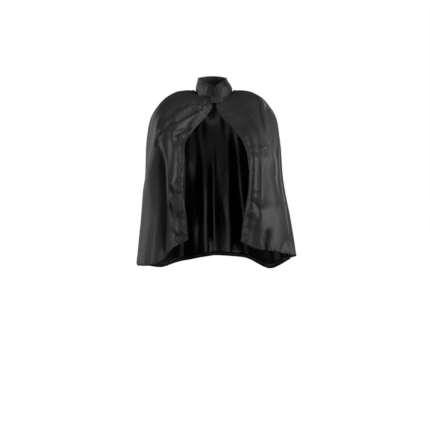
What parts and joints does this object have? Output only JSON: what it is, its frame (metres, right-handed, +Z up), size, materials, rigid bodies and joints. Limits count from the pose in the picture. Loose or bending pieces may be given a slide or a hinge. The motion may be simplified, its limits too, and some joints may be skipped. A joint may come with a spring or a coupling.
{
  "type": "superhero cape",
  "caption": "Hip-length satin costume cape with a stand collar and a hook-and-loop tab at the neck, hanging open at the front as worn.",
  "frame": {"origin": "on the vertical axis of the neck, at the middle of the neck tape's back half", "axes": "+X to the wearer's left, -Y to the front, +Z up"},
  "size_m": [0.574, 0.3489, 0.7035],
  "materials": {
    "satin": "shiny satin",
    "satin_hem": "shiny satin, double-turned and puckered",
    "satin_inner": "satin",
    "seam_allowance": "overlocked satin edge",
    "interfacing": "matt non-woven",
    "tape": "twill binding",
    "label": "blank woven label",
    "loop": "brushed loop pile",
    "hook": "moulded nylon hooks"
  },
  "bodies": {
    "cape_back": {"back_collar_inner": "satin_inner", "back_collar_interfacing": "interfacing", "back_collar_outer": "satin", "back_neck_tape": "tape", "back_panel": "satin", "back_panel_hem": "satin_hem", "left_front_side": "satin", "left_front_side_hem": "satin_hem", "left_side_seam_allowance": "seam_allowance", "neck_label": "label", "right_front_side": "satin", "right_front_side_hem": "satin_hem", "right_side_seam_allowance": "seam_allowance"},
    "left_front": {"left_front_panel": "satin", "left_front_panel_hem": "satin_hem", "left_front_edge_hem": "satin_hem", "left_neck_tape": "tape", "left_collar_outer": "satin", "left_collar_interfacing": "interfacing", "left_collar_inner": "satin_inner", "loop_strip": "loop"},
    "right_front": {"right_front_panel": "satin", "right_front_panel_hem": "satin_hem", "right_front_edge_hem": "satin_hem", "right_neck_tape": "tape", "right_collar_outer": "satin", "right_collar_interfacing": "interfacing", "right_collar_inner": "satin_inner"},
    "tab": {"closure_tab": "satin", "hook_strip": "hook"}
  },
  "joints": [
    {"name": "left_front_open", "type": "hinge", "parent": "cape_back", "child": "left_front", "pos_m": [0.064, 0, -0.019], "axis": [0, 0, 1], "range_deg": [0, 24], "deforming": ["left_front_side", "left_front_side_hem"]},
    {"name": "right_front_open", "type": "hinge", "parent": "cape_back", "child": "right_front", "pos_m": [-0.064, 0, -0.019], "axis": [0, 0, -1], "range_deg": [0, 24], "deforming": ["right_front_side", "right_front_side_hem"]},
    {"name": "tab_peel", "type": "hinge", "parent": "right_front", "child": "tab", "pos_m": [-0.012, -0.0705, -0.033], "axis": [0, -0.3219, -0.9468], "range_deg": [0, 95]}
  ],
  "couplings": [
    {"joint": "left_front_open", "follows": "right_front_open", "ratio": 1}
  ]
}
